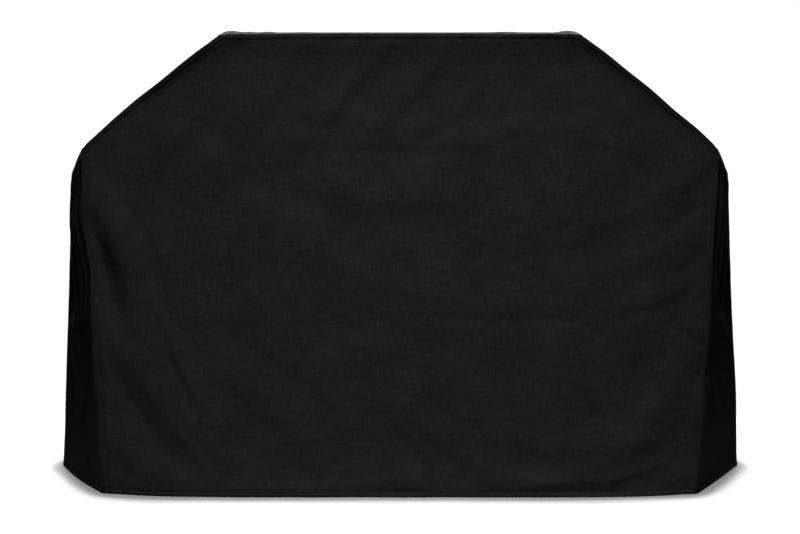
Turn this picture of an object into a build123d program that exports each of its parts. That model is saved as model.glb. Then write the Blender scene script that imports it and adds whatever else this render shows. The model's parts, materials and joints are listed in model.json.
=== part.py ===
from build123d import *
import os

# A fitted cloth cover for a gas grill, standing open as it does over a grill: hexagonal front and
# back panels, joined by a gusset that runs up one side, over the slopes and the flat top, and down.
# Origin at the footprint's centre, +X to the right seen from the front, -Y to the front, +Z up.

# ---- Driving dimensions, millimetres -------------------------------------------------------------
HEIGHT = 1200.0  # floor to the flat top
TOP_WIDTH = 891.0  # between the two top corners
TOP_DEPTH = 580.0
SHOULDER_WIDTH = 1625.0  # between the shoulder corners, where the slopes meet the sides
SHOULDER_DEPTH = 544.0
SHOULDER_HEIGHT = 906.0
SHOULDER_BOW = 25.0  # how far the front panel stands forward of its own corners there
HEM_WIDTH = 1568.0  # between the front corners of the hem
HEM_DEPTH = 520.0
HEM_BOW = 40.0
CREASE_HEM_WIDTH = 1886.0  # across the upright folds in the middle of the two sides
CREASE_TOP_WIDTH = 1787.0  # the same at the folds' upper ends
CREASE_TOP_HEIGHT = 795.0

FABRIC = 1.0  # coated cloth
WELT_WIDTH = 12.0  # seam allowance, turned and stitched flat
WELT_RAISE = 1.0
BINDING_HEIGHT = 12.0  # folded tape round the hem
BINDING_CLOTH = 0.8

STRAP_WIDTH = 38.0
STRAP_THICKNESS = 1.5
STRAP_LENGTH = 280.0  # the free part, below its stitching
STRAP_PLACE = 0.45  # along a half side, from the front corner to the fold
SEWN_HEIGHT = 50.0
SEWN_THICKNESS = 4.5  # the strap's end folded three times
SEWN_CENTRE_HEIGHT = 350.0
SEWN_GAP = 3.0  # between the stitched end and the part that swings
PATCH_WIDTH = 70.0
PATCH_HEIGHT = 76.0
PATCH_THICKNESS = 1.5
PATCH_SINK = 0.6  # lets the flat patch follow the wall before the wall is cut out of it
TAPE_WIDTH = 34.0
TAPE_THICKNESS = 1.5
HOOK_TAPE_LENGTH = 90.0
LOOP_TAPE_LENGTH = 140.0
TAPE_END_GAP = 8.0  # from the tape to the strap's free end

SPACE = 4000.0  # larger than the cover, for cutting tools
PAST_HEM = 1.2  # cutting outlines run on past the hem, to this share of the upright seam


# ---- The cover's surface -------------------------------------------------------------------------
class Skin:
    """Corner points of the +X, -Y quarter of a surface `out` outside the cloth's outer face."""

    def __init__(self, out=0.0):
        self.grow_x = 1 + out / (CREASE_HEM_WIDTH / 2)
        self.grow_y = 1 + out / (HEM_DEPTH / 2 + HEM_BOW)
        self.grow_z = 1 + out / HEIGHT
        self.hem_corner = self.point(HEM_WIDTH / 2, -HEM_DEPTH / 2, 0)
        self.hem_crease = self.point(CREASE_HEM_WIDTH / 2, 0, 0)
        self.hem_middle = self.point(0, -HEM_DEPTH / 2 - HEM_BOW, 0)
        self.shoulder = self.point(SHOULDER_WIDTH / 2, -SHOULDER_DEPTH / 2, SHOULDER_HEIGHT)
        self.shoulder_middle = self.point(0, -SHOULDER_DEPTH / 2 - SHOULDER_BOW, SHOULDER_HEIGHT)
        self.crease_top = self.point(CREASE_TOP_WIDTH / 2, 0, CREASE_TOP_HEIGHT)
        self.top_corner = self.point(TOP_WIDTH / 2, -TOP_DEPTH / 2, HEIGHT)
        self.top_side = self.point(TOP_WIDTH / 2, 0, HEIGHT)

    def point(self, x, y, z):
        return Vector(x * self.grow_x, y * self.grow_y, z * self.grow_z)


def flip_x(point):
    return Vector(-point.X, point.Y, point.Z)


def flip_y(point):
    return Vector(point.X, -point.Y, point.Z)


def between(start, end, share):
    return start + (end - start) * share


def line(start, end):
    return Edge.make_line(start, end)


def bowed(corner, middle):
    """An arc from the left twin of a corner, through a point on the centre plane, to the corner."""
    return Edge.make_three_point_arc(flip_x(corner), middle, corner)


def ruled(first, second):
    return Face.make_surface_from_curves(first, second)


def cloth(outer_low, outer_high, inner_low, inner_high):
    """A thin solid between two surfaces, each ruled from its low edge to its high one."""
    ends = [
        ruled(line(outer_low @ end, outer_high @ end), line(inner_low @ end, inner_high @ end))
        for end in (0, 1)
    ]
    faces = [
        ruled(outer_low, outer_high),
        ruled(inner_low, inner_high),
        ruled(outer_low, inner_low),
        ruled(outer_high, inner_high),
        *ends,
    ]
    return Solid(Shell(faces))


# ---- Layers of each panel, between two skins -----------------------------------------------------
def front_layer(outer, inner):
    """The front panel: from the hem to the shoulders, then from the shoulders to the top edge."""
    hems = [bowed(s.hem_corner, s.hem_middle) for s in (outer, inner)]
    shoulders = [bowed(s.shoulder, s.shoulder_middle) for s in (outer, inner)]
    tops = [line(flip_x(s.top_corner), s.top_corner) for s in (outer, inner)]
    lower = cloth(hems[0], shoulders[0], hems[1], shoulders[1])
    upper = cloth(shoulders[0], tops[0], shoulders[1], tops[1])
    return lower + upper


def halves(low, high, outer, inner):
    """A gusset panel from two halves that meet on the plane Y=0.

    low and high are functions that give a skin's lower and upper edge of the front half.
    """
    front = cloth(low(outer), high(outer), low(inner), high(inner))
    return front + front.mirror(Plane.XZ)


def hem_ring(s):
    return line(s.hem_corner, s.hem_crease)


def shoulder_ring(s):
    return line(s.shoulder, s.crease_top)


def top_ring(s):
    return line(s.top_corner, s.top_side)


def side_layer(outer, inner):
    """The right side panel, folded outwards along its upright middle line."""
    return halves(hem_ring, shoulder_ring, outer, inner)


def slope_layer(outer, inner):
    return halves(shoulder_ring, top_ring, outer, inner)


def top_layer(outer, inner):
    """The flat top, a rectangle whose four edges are cut at the mitre of the seams."""
    corners = [(s.top_corner, flip_x(s.top_corner)) for s in (inner, outer)]
    outlines = [Wire.make_polygon([a, b, flip_y(b), flip_y(a)]) for a, b in corners]
    return Solid.make_loft(outlines, ruled=True)


def above(height):
    """A block that holds everything above a height."""
    return Pos(0, 0, height + SPACE / 2) * Box(SPACE, SPACE, SPACE)


# ---- Cloth panels --------------------------------------------------------------------------------
FACE, LINING = Skin(), Skin(-FABRIC)


def front_panel():
    return front_layer(FACE, LINING) & above(BINDING_CLOTH)


def side_panel():
    return side_layer(FACE, LINING) & above(BINDING_CLOTH)


# ---- Hem binding: a tape folded round the lower edge of each panel -------------------------------
def hem_skins():
    return Skin(BINDING_CLOTH), Skin(-FABRIC - BINDING_CLOTH)


def level(low, high, height):
    """The point at a height on the line between two points."""
    return between(low, high, (height - low.Z) / (high.Z - low.Z))


def front_ring(s, height):
    """The front panel's outline at a height near the hem."""
    middle = level(s.hem_middle, s.shoulder_middle, height)
    return bowed(level(s.hem_corner, s.shoulder, height), middle)


def side_ring(s, height):
    corner = level(s.hem_corner, s.shoulder, height)
    return line(corner, level(s.hem_crease, s.crease_top, height))


def front_binding(panel):
    outer, inner = hem_skins()
    heights = (-BINDING_HEIGHT, BINDING_HEIGHT)
    tape = cloth(*[front_ring(s, height) for s in (outer, inner) for height in heights])
    return (tape & above(0)) - panel


def side_binding(panel):
    def low(s):
        return side_ring(s, -BINDING_HEIGHT)

    def high(s):
        return side_ring(s, BINDING_HEIGHT)

    return (halves(low, high, *hem_skins()) & above(0)) - panel


# ---- Seam welts: the seam allowance stitched flat, a raised band beside each seam ----------------
def welt_skins():
    return Skin(WELT_RAISE), Skin()


def front_welt():
    """Up one upright seam of the front panel, along its slopes and top, and down the other."""
    s = FACE
    below = between(s.shoulder, s.hem_corner, PAST_HEM)
    right = [below, s.shoulder, s.top_corner]
    outline = [(p.X, p.Z) for p in right] + [(-p.X, p.Z) for p in reversed(right)]
    inside = offset(make_face(Polyline(*outline, close=True)), -WELT_WIDTH, kind=Kind.INTERSECTION)
    opening = extrude(Plane.XZ * inside, SPACE, both=True)
    return (front_layer(*welt_skins()) - opening) & above(BINDING_HEIGHT)


def slope_welts():
    """The bands along the slope panel's two cross seams, at the top corner and at the shoulder."""
    s = FACE
    layer = slope_layer(*welt_skins())
    run = Vector(s.shoulder.X - s.top_corner.X, 0, s.shoulder.Z - s.top_corner.Z)
    width = WELT_WIDTH * run.X / run.length  # the band's width seen from above
    near_top = Pos(s.top_corner.X + width - SPACE / 2, 0, 0) * Box(SPACE, SPACE, SPACE)
    x, y = s.shoulder.X - width, s.shoulder.Y
    fold = [(x, 2 * y), (x, y), (s.crease_top.X - width, 0), (x, -y), (x, -2 * y)]
    before_fold = make_face(Polyline((0, 2 * y), *fold, (0, -2 * y), close=True))
    return layer & near_top, layer - extrude(before_fold, SPACE, both=True)


# ---- Tie-down straps inside the sides ------------------------------------------------------------
def wall_place(height):
    """A plane on the inside of the right side's front half, at a height.

    X runs along the wall towards the front corner, Y up, and Z into the cover.
    """
    s = LINING
    foot = between(s.hem_corner, s.hem_crease, STRAP_PLACE)
    head = between(s.shoulder, s.crease_top, STRAP_PLACE)
    across = between(s.hem_corner - s.hem_crease, s.shoulder - s.crease_top, height / head.Z)
    normal = across.cross(head - foot)
    inwards = Vector(normal.X, normal.Y, 0).normalized()
    along = Vector(0, 0, 1).cross(inwards)
    return Plane(level(foot, head, height), x_dir=along, z_dir=inwards)


def slab(place, width, height, low, thickness):
    """A block centred on a wall place, from `low` off the wall to `low` plus its thickness."""
    return place * Pos(0, 0, low + thickness / 2) * Box(width, height, thickness)


def strap_place():
    """Where the free part turns: on its top edge, halfway through its thickness."""
    place = wall_place(SEWN_CENTRE_HEIGHT)
    drop = SEWN_HEIGHT / 2 + SEWN_GAP
    out = PATCH_THICKNESS + SEWN_THICKNESS - STRAP_THICKNESS / 2
    return place * Pos(0, -drop, out)


def strap_patch(panel):
    place = wall_place(SEWN_CENTRE_HEIGHT)
    blank = slab(place, PATCH_WIDTH, PATCH_HEIGHT, -PATCH_SINK, PATCH_SINK + PATCH_THICKNESS)
    pieces = (blank - panel).solids().sort_by(SortBy.VOLUME)
    return pieces[-1]


def strap_anchor():
    place = wall_place(SEWN_CENTRE_HEIGHT)
    return slab(place, STRAP_WIDTH, SEWN_HEIGHT, PATCH_THICKNESS, SEWN_THICKNESS)


def strap_part(width, length, end_gap, low, thickness):
    """A block on the free part, whose lower end is end_gap above the strap's free end."""
    place = Plane(strap_place()) * Pos(0, end_gap + length / 2 - STRAP_LENGTH, 0)
    return slab(place, width, length, low, thickness)


def strap_webbing():
    return strap_part(STRAP_WIDTH, STRAP_LENGTH, 0, -STRAP_THICKNESS / 2, STRAP_THICKNESS)


def hook_tape():
    low = STRAP_THICKNESS / 2
    return strap_part(TAPE_WIDTH, HOOK_TAPE_LENGTH, TAPE_END_GAP, low, TAPE_THICKNESS)


def loop_tape():
    low = -STRAP_THICKNESS / 2 - TAPE_THICKNESS
    return strap_part(TAPE_WIDTH, LOOP_TAPE_LENGTH, TAPE_END_GAP, low, TAPE_THICKNESS)


# ---- Writing the parts ---------------------------------------------------------------------------
def to_left(shape):
    return shape.mirror(Plane.YZ)


def to_back(shape):
    return shape.mirror(Plane.XZ)


def front_parts():
    panel = front_panel()
    return {"panel": panel, "hem_binding": front_binding(panel), "seam_welt": front_welt()}


def right_parts():
    """The pieces of the right side; the left ones are their mirror images."""
    panel = side_panel()
    top_welt, shoulder_welt = slope_welts()
    parts = {
        "side_panel": panel,
        "slope_panel": slope_layer(FACE, LINING),
        "side_hem_binding": side_binding(panel),
        "top_corner_welt": top_welt,
        "shoulder_welt": shoulder_welt,
        "front_hook_tape": hook_tape(),
        "back_loop_tape": to_back(loop_tape()),
    }
    sewn = {"strap_patch": strap_patch(panel), "strap_anchor": strap_anchor()}
    for name, shape in (sewn | {"strap": strap_webbing()}).items():
        parts[f"front_{name}"] = shape
        parts[f"back_{name}"] = to_back(shape)
    return parts


def all_parts():
    parts = {"top_panel": top_layer(FACE, LINING)}
    for name, shape in front_parts().items():
        parts[f"front_{name}"] = shape
        parts[f"back_{name}"] = to_back(shape)
    for name, shape in right_parts().items():
        parts[f"right_{name}"] = shape
        parts[f"left_{name}"] = to_left(shape)
    return parts


def main():
    os.makedirs("parts", exist_ok=True)
    for name, shape in all_parts().items():
        export_step(shape.solid(), f"parts/{name}.step")


if __name__ == "__main__":
    main()
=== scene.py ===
import json
import math

import bpy
import numpy as np
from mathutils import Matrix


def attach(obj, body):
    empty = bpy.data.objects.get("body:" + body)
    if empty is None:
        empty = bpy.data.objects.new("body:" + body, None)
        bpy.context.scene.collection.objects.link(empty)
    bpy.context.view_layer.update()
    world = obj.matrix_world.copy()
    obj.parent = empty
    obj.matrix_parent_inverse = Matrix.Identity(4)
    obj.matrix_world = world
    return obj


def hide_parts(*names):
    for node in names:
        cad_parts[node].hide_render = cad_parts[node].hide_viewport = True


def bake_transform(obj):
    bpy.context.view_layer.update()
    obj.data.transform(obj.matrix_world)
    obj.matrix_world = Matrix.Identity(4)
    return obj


# A black cloth grill cover, standing as it does over a grill. Its two big faces and the band between
# them are one surface, settled by a cloth simulation and then given the folds that a stored cover
# keeps. It is cut along its seams into panels, with raised seam welts, a bound hem, stitches, and
# four tie-down straps inside the sides.
# Lengths are in metres. +X is to the right seen from the front, and the front faces -Y.

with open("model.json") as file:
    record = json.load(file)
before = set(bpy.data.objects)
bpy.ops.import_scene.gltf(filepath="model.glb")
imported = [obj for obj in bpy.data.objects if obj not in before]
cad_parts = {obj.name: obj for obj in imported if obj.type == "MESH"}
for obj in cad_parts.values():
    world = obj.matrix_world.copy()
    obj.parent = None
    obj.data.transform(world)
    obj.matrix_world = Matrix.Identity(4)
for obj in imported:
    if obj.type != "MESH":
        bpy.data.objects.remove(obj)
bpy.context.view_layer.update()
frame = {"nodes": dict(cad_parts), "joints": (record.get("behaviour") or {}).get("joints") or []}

CLOTH = 0.001  # its thickness
WELT_WIDTH = 0.012
HEM_HEIGHT = 0.012
STITCH = 0.0048  # from one stitch to the next
THREAD_RADIUS = 0.00045
SHOULDER_BOW = 0.025  # how far a face bows out in its middle, between the shoulders
HEM_BOW = 0.040  # and at its hem
SLANT = 0.625  # distance from a sloping seam over the level distance from it
GUSSET_WIDTH = 0.61  # the cut of the band, from seam to seam

# The sewn ends of the straps, on the sides
STRAP_DEPTHS = (0.225, 0.775)  # shares of the way across the band
STRAP_HEIGHT = 0.35
STRAP_GRIP = 0.055  # radius in which the cloth lies flat

# Cells of the surface that is simulated
COLUMNS = 100  # across a face
LOWER = 56  # up its side, from the hem to the shoulder
UPPER = 28  # up its slope, from the shoulder to the top
DEPTH = 36  # across the band between the faces
ROWS = LOWER + UPPER
ROUND = 2 * ROWS + COLUMNS  # along the band, from the left hem over the top to the right hem

FRAMES = 30  # length of the simulation
SAG_LIMIT = 0.016  # the farthest that it moves a point
LATTICE = 64  # cells of noise before it repeats

# Counts of cells and sections in the pieces
FACE_ROWS, FACE_COLUMNS = 170, 190
BAND_ROWS, BAND_COLUMNS = 160, 79
WELT_SECTIONS, HEM_SECTIONS = 560, 210
CORNER_SECTIONS, SIDE_HEM_SECTIONS = 110, 120


# ---- Corners of the cut, from the frame ----
def farthest(node, *direction):
    """The vertex of a CAD node that lies farthest in a direction."""
    points = np.array([v.co for v in frame["nodes"][node].data.vertices], float)
    return points[np.argmax(points @ np.array(direction, float))]


HEM = farthest("front_panel", 1, 0, -1) * (1, 1, 0)
SHOULDER = farthest("front_panel", 1, 0, 0)
TOP = farthest("top_panel", 1, -1, 1)
FOLD_HEM = farthest("right_side_panel", 1, 0, -1) * (1, 0, 0)
FOLD_TOP = farthest("right_slope_panel", 1, 0, -1) * (1, 0, 1)
RIDGE_END = TOP * (1, 0, 1)
LEFT = np.array([-1, 1, 1])
BACK = np.array([1, -1, 1])


# ---- Small helpers ----
def smoothstep(x, low, high):
    t = np.clip((x - low) / (high - low), 0, 1)
    return t * t * (3 - 2 * t)


def bump(x, centre, width):
    return np.exp(-(((x - centre) / width) ** 2))


def unit(vectors):
    return vectors / np.maximum(np.linalg.norm(vectors, axis=-1, keepdims=True), 1e-9)


def add_object(name, data):
    made = bpy.data.objects.new(name, data)
    bpy.context.scene.collection.objects.link(made)
    return made


def distances(points):
    """How far each point of a line is from its start, along it."""
    return np.concatenate([[0], np.linalg.norm(np.diff(points, axis=0), axis=1).cumsum()])


def cubic_weights(t):
    """Weights of the four neighbours of a point that is a share t of the way between two."""
    return (
        ((-t + 2) * t - 1) * t / 2,
        ((3 * t - 5) * t * t + 2) / 2,
        ((-3 * t + 4) * t + 1) * t / 2,
        (t - 1) * t * t / 2,
    )


def sample(grid, rows, columns):
    """Points of a grid at fractional rows and columns, smoothly interpolated."""
    rows, columns = np.broadcast_arrays(np.asarray(rows, float), np.asarray(columns, float))
    last_row, last_column = grid.shape[0] - 1, grid.shape[1] - 1
    i = np.clip(np.floor(rows).astype(int), 0, last_row - 1)
    j = np.clip(np.floor(columns).astype(int), 0, last_column - 1)
    total = 0
    for a, wa in enumerate(cubic_weights(rows - i)):
        for b, wb in enumerate(cubic_weights(columns - j)):
            near = grid[np.clip(i + a - 1, 0, last_row), np.clip(j + b - 1, 0, last_column)]
            total = total + (wa * wb)[..., None] * near
    return total


def noise(seed, u, v=0.0):
    """Smooth noise from about -1 to 1. It changes over one unit, and repeats after LATTICE units."""
    values = np.random.default_rng(seed).uniform(-1.4, 1.4, (LATTICE, LATTICE))
    u, v = np.broadcast_arrays(np.asarray(u, float), np.asarray(v, float))
    i, j = np.floor(u).astype(int), np.floor(v).astype(int)
    total = 0
    for a, wa in enumerate(cubic_weights(u - i)):
        for b, wb in enumerate(cubic_weights(v - j)):
            total = total + wa * wb * values[(i + a - 1) % LATTICE, (j + b - 1) % LATTICE]
    return total


# ---- The cover's plain surface ----
COUNTS = (LOWER, UPPER, COLUMNS, UPPER, LOWER)
STEPS = np.arange(ROUND + 1)


def polyline(corners):
    """Points along the five straight runs between corners, with the corners eased."""
    runs = zip(corners, corners[1:], COUNTS)
    points = np.array([a + (b - a) * i / n for a, b, n in runs for i in range(n)] + [corners[-1]])
    for _ in range(2):
        points[1:-1] = points[1:-1] * 0.5 + (points[:-2] + points[2:]) * 0.25
    return points


def seam_line():
    """The front seam from the left hem over the top to the right hem, as it really runs."""
    line = polyline([HEM * LEFT, SHOULDER * LEFT, TOP * LEFT, TOP, SHOULDER, HEM])
    z = line[:, 2]
    left, right = STEPS <= LOWER, STEPS >= ROUND - LOWER
    level = (STEPS > ROWS) & (STEPS < ROWS + COLUMNS)
    # The upright parts swell out under the left shoulder, and draw in below it
    line[:, 0] -= left * 0.009 * bump(z, 0.75, 0.07)
    line[:, 0] += left * 0.004 * bump(z, 0.58, 0.06)
    line[:, 0] += right * 0.003 * bump(z, 0.42, 0.10)
    wander = noise(3, STEPS / 4.5)
    line[:, 0] += 0.0012 * wander * (left | right) * smoothstep(z, 0.0, 0.05)
    line[:, 1] += 0.0025 * noise(4, STEPS / 6) - 0.006 * (1 - smoothstep(z, 0, 0.15))
    # The sloping parts bow outwards, and the top sits a little low
    slant = ~(left | right | level)
    bulge = np.sin(np.pi * np.clip((z - SHOULDER[2]) / (TOP[2] - SHOULDER[2]), 0, 1)) ** 0.5 * slant
    line[:, 0] += np.sign(line[:, 0]) * 0.005 * bulge
    line[:, 2] += 0.005 * bulge + 0.0015 * wander * slant
    line[:, 2] -= 0.0022 * smoothstep(z, TOP[2] - 0.05, TOP[2])
    return line


def gusset_surface(front, back):
    """The band between the two seams, folded outwards along the middle of its sides."""
    corners = [FOLD_HEM, FOLD_TOP, RIDGE_END]
    middle = polyline([c * LEFT for c in corners] + corners[::-1])
    middle[:, 0] += 0.005 * bump(middle[:, 2], 0.20, 0.18) * (STEPS > ROUND / 2)
    outward = 0.009 * bump(middle[:, 2], 0.93, 0.07) + 0.005 * bump(middle[:, 2], 0.85, 0.06)
    middle[:, 0] += np.sign(middle[:, 0]) * outward
    share = np.linspace(0, 1, DEPTH + 1)[None, :, None]
    front, back, middle = front[:, None], back[:, None], middle[:, None]
    near = front + (middle - front) * np.minimum(share * 2, 1)
    return near + (back - middle) * np.maximum(share * 2 - 1, 0)


def face_surface(seam, side):
    """The front face (side -1) or the back face (side 1), bowed between its upright seams."""
    left, right = seam[: ROWS + 1, None], seam[::-1][: ROWS + 1, None]
    across = np.linspace(0, 1, COLUMNS + 1)[None, :]
    grid = left + (right - left) * across[..., None]
    z = left[..., 2]
    lower = HEM_BOW + (SHOULDER_BOW - HEM_BOW) * z / SHOULDER[2]
    upper = SHOULDER_BOW * (TOP[2] - z) / (TOP[2] - SHOULDER[2])
    round_corner = 2.4 + 4.6 * (1 - smoothstep(z, 0.0, 0.5))
    full = 1 - np.abs(2 * across - 1) ** round_corner
    grid[..., 1] += side * np.where(z < SHOULDER[2], lower, upper) * full
    grid[-1] = seam[ROWS : ROWS + COLUMNS + 1]
    return grid


# ---- Draping ----
CLOTH_SETTINGS = {
    "quality": 6,
    "mass": 0.15,
    "tension_stiffness": 30,
    "compression_stiffness": 30,
    "shear_stiffness": 12,
    "bending_stiffness": 3,
    "air_damping": 4,
    "vertex_group_mass": "pins",
    "vertex_group_shrink": "slack",
    "shrink_min": -0.001,
    "shrink_max": -0.014,
}


def quads(numbers):
    """The four-sided faces of a grid, from its table of point numbers."""
    corners = (numbers[:-1, :-1], numbers[:-1, 1:], numbers[1:, 1:], numbers[1:, :-1])
    return np.stack([c.ravel() for c in corners], axis=1)


def weld(front, gusset, back):
    """One mesh of the three grids, which share the seams' points: points, faces, and each grid's
    table of point numbers."""
    band = np.arange(gusset[..., 0].size).reshape(ROUND + 1, DEPTH + 1)
    points, tables = [gusset.reshape(-1, 3)], [band]
    count = band.size
    for grid, edge in ((front, band[:, 0]), (back, band[:, -1])):
        inner = grid[:-1, 1:-1]
        table = np.zeros(grid.shape[:2], int)
        table[:-1, 1:-1] = count + np.arange(inner[..., 0].size).reshape(inner.shape[:2])
        table[:, 0], table[:, -1] = edge[: ROWS + 1], edge[::-1][: ROWS + 1]
        table[-1] = edge[ROWS : ROWS + COLUMNS + 1]
        points.append(inner.reshape(-1, 3))
        tables.append(table)
        count += inner[..., 0].size
    return np.concatenate(points), np.concatenate([quads(t) for t in tables]), tables


def add_group(body, name, levels):
    """A vertex group with the given levels, to the nearest hundredth."""
    group = body.vertex_groups.new(name=name)
    levels = np.round(levels, 2)
    for level in np.unique(levels):
        group.add(np.flatnonzero(levels == level).tolist(), float(level), "REPLACE")


def drape(points, faces, pins, slack):
    """The points after a short cloth simulation. pins says how firmly each point is held, and slack
    how much longer the cloth is there, each from 0 to 1."""
    mesh = bpy.data.meshes.new("drape")
    mesh.from_pydata(points.tolist(), [], faces.tolist())
    body = add_object("drape", mesh)
    add_group(body, "pins", pins)
    add_group(body, "slack", slack)
    cloth = body.modifiers.new("cloth", "CLOTH")
    for key, value in CLOTH_SETTINGS.items():
        setattr(cloth.settings, key, value)
    cloth.settings.effector_weights.gravity = 0.5
    cloth.collision_settings.use_collision = False
    cloth.point_cache.frame_start = 1
    cloth.point_cache.frame_end = FRAMES
    for number in range(1, FRAMES + 1):
        bpy.context.scene.frame_set(number)
    evaluated = body.evaluated_get(bpy.context.evaluated_depsgraph_get())
    draped = np.zeros(len(points) * 3)
    evaluated.data.vertices.foreach_get("co", draped)
    bpy.data.objects.remove(body)
    bpy.data.meshes.remove(mesh)
    bpy.context.scene.frame_set(1)
    moved = draped.reshape(-1, 3) - points
    distance = np.maximum(np.linalg.norm(moved, axis=1, keepdims=True), 1e-9)
    return points + moved * SAG_LIMIT * np.tanh(distance / SAG_LIMIT) / distance


def near_straps(over, up, reach):
    """1 where a strap is sewn to the band, fading to 0 at a distance of reach."""
    away = [np.hypot(over - d * GUSSET_WIDTH, up - STRAP_HEIGHT) for d in STRAP_DEPTHS]
    return 1 - smoothstep(np.minimum(*away), STRAP_GRIP, reach)


def strap_hold():
    """How firmly the sewn straps hold each point of the band's grid, from 0 to 1."""
    up = np.minimum(STEPS, ROUND - STEPS)[:, None] / LOWER * SHOULDER[2]
    over = np.linspace(0, 1, DEPTH + 1)[None, :] * GUSSET_WIDTH
    return near_straps(over, up, 0.13)


def billow(gusset):
    """The band with its soft swelling: the sides between the seams and the fold, and the top."""
    share = np.linspace(0, 1, DEPTH + 1)[None, :]
    z = gusset[..., 2]
    edge = np.sin(np.pi * share)
    between = np.abs(np.sin(2 * np.pi * share))  # 0 at the seams and at the fold
    on_side = smoothstep(SHOULDER[2] - z, -0.02, 0.10)
    low = smoothstep(SHOULDER[2] - z, 0.45, 0.85)
    left = (STEPS < ROUND / 2)[:, None]
    level = ((STEPS > ROWS) & (STEPS < ROWS + COLUMNS))[:, None]
    height = on_side * between * (0.002 + 0.007 * bump(z, 0.74, 0.14) + 0.008 * low * left)
    height += (1 - on_side) * edge * 0.012 * ~level * (1 + 0.5 * bump(z, SHOULDER[2], 0.08))
    height -= level * edge * 0.012 * np.sin(np.pi * (STEPS[:, None] - ROWS) / COLUMNS)
    height *= 1 - strap_hold()
    normals = unit(np.cross(np.gradient(gusset, axis=0), np.gradient(gusset, axis=1)))
    return gusset + normals * height[..., None]


def cover_surface():
    """The draped grids of the front face, the band and the back face."""
    front_seam = seam_line()
    back_seam = front_seam * BACK
    gusset = billow(gusset_surface(front_seam, back_seam))
    gusset[:, 0], gusset[:, -1] = front_seam, back_seam
    front, back = face_surface(front_seam, -1), face_surface(back_seam, 1)
    for grid, side, seed in ((front, -1, 11), (back, 1, 12)):
        rough = 0.003 * noise(seed, grid[..., 0] / 0.13, grid[..., 2] / 0.11)
        grid[1:-1, 1:-1, 1] += side * rough[1:-1, 1:-1]
    points, faces, tables = weld(front, gusset, back)
    pins, slack = np.zeros(len(points)), np.ones(len(points))
    band, front_table, back_table = tables
    pins[band] = strap_hold()
    pins[band[:, [0, -1]]] = 1
    pins[band[[0, -1]]] = 1
    pins[band[: LOWER + 1, DEPTH // 2]] = 0.9
    pins[band[-LOWER - 1 :, DEPTH // 2]] = 0.9
    level = band[ROWS : ROWS + COLUMNS + 1]
    pins[level] = np.maximum(pins[level], 0.5)
    pins[front_table[0]] = pins[back_table[0]] = 1
    slack[front_table[:, 1:-1]] = 0.25
    slack[back_table[:, 1:-1]] = 0.6
    points = drape(points, faces, pins, slack)
    return points[front_table], points[band], points[back_table]


SEAM = seam_line()
FRONT, GUSSET, REAR = cover_surface()


# ---- Folds ----
# A fold is a ridge (height above 0) or a valley (below 0) in millimetres, its width in millimetres,
# and the points that it runs through, in centimetres across from the middle and up from the floor.
FRONT_FOLDS = [
    # from the left shoulder down the left side
    (17, 46, [(-79, 84), (-73, 66), (-67, 48), (-61, 34), (-54, 22)]),
    (-19, 32, [(-78.5, 76), (-77, 64), (-75, 52), (-72, 42)]),
    (-5, 16, [(-76, 38), (-71, 27), (-64, 16), (-56, 6)]),
    (-6, 18, [(-70, 78), (-64, 64), (-61, 52)]),
    (9, 28, [(-74, 46), (-66, 31), (-57, 18), (-48, 7)]),
    (9, 18, [(-61, 47), (-56, 34), (-51, 24)]),
    (-8, 13, [(-60, 38), (-57, 30), (-54, 23)]),
    (-7, 13, [(-57, 20), (-52, 13), (-47, 6)]),
    (5, 15, [(-53, 55), (-49, 42)]),
    (-4, 12, [(-51, 52), (-48, 42)]),
    (5, 18, [(-78, 40), (-76, 12)]),
    # under the left slope
    (-8, 22, [(-52, 107), (-60, 98), (-71, 89)]),
    (6, 26, [(-45, 104), (-54, 95), (-66, 84)]),
    # down and left from the top edge
    (12, 34, [(-25, 117), (-33, 106), (-40, 94)]),
    (5, 18, [(-11, 119), (-16, 110)]),
    (10, 30, [(-3, 117), (-13, 107), (-21, 97)]),
    (10, 30, [(12, 118), (5, 108), (-5, 98)]),
    (4, 24, [(22, 107), (10, 98), (2, 94)]),
    (4, 20, [(34, 100), (22, 93), (14, 90)]),
    (5, 18, [(48, 111), (39, 107)]),
    # level packing crease and the bulge under it
    (-4, 14, [(-16, 90), (4, 89.5), (20, 90.5)]),
    (9, 55, [(-20, 81), (-2, 78), (18, 80)]),
    # from the right shoulder down and left
    (6, 28, [(79, 88), (69, 81), (56, 73), (46, 71)]),
    (-6, 14, [(80, 77), (72, 73), (64, 66)]),
    (4, 26, [(78, 71), (68, 66), (57, 60)]),
    (-3, 16, [(79, 64), (70, 59), (59, 56)]),
    (4, 18, [(76, 57), (66, 52), (53, 50)]),
    (-2, 15, [(75, 53), (65, 49), (55, 48)]),
    # the long sweep to the middle
    (5, 50, [(-38, 74), (-26, 68), (-8, 59), (6, 53), (22, 51), (46, 51)]),
    (-2, 12, [(8, 49), (18, 47), (32, 46.5), (44, 47)]),
    (2, 24, [(-44, 84), (-36, 76), (-24, 73)]),
    # above the hem
    (6, 26, [(2, 23), (12, 14), (23, 6)]),
    (-4, 18, [(-4, 19), (5, 10), (12, 3)]),
    (7, 30, [(24, 17), (40, 13), (64, 15)]),
    (-5, 20, [(26, 9), (42, 6), (62, 8)]),
    (5, 14, [(33, 3), (44, 5)]),
    (5, 14, [(55, 4), (69, 9)]),
    (5, 24, [(-36, 26), (-28, 17), (-20, 9)]),
    (5, 20, [(-30, 12), (-20, 6)]),
    # beside the right seam
    (5, 11, [(72, 47), (79, 42)]),
    (-5, 9, [(71, 44), (78, 39)]),
    (7, 20, [(69, 33), (72, 27)]),
    (6, 16, [(64, 26), (67, 21)]),
    (5, 16, [(70, 20), (72, 12)]),
]
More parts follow.
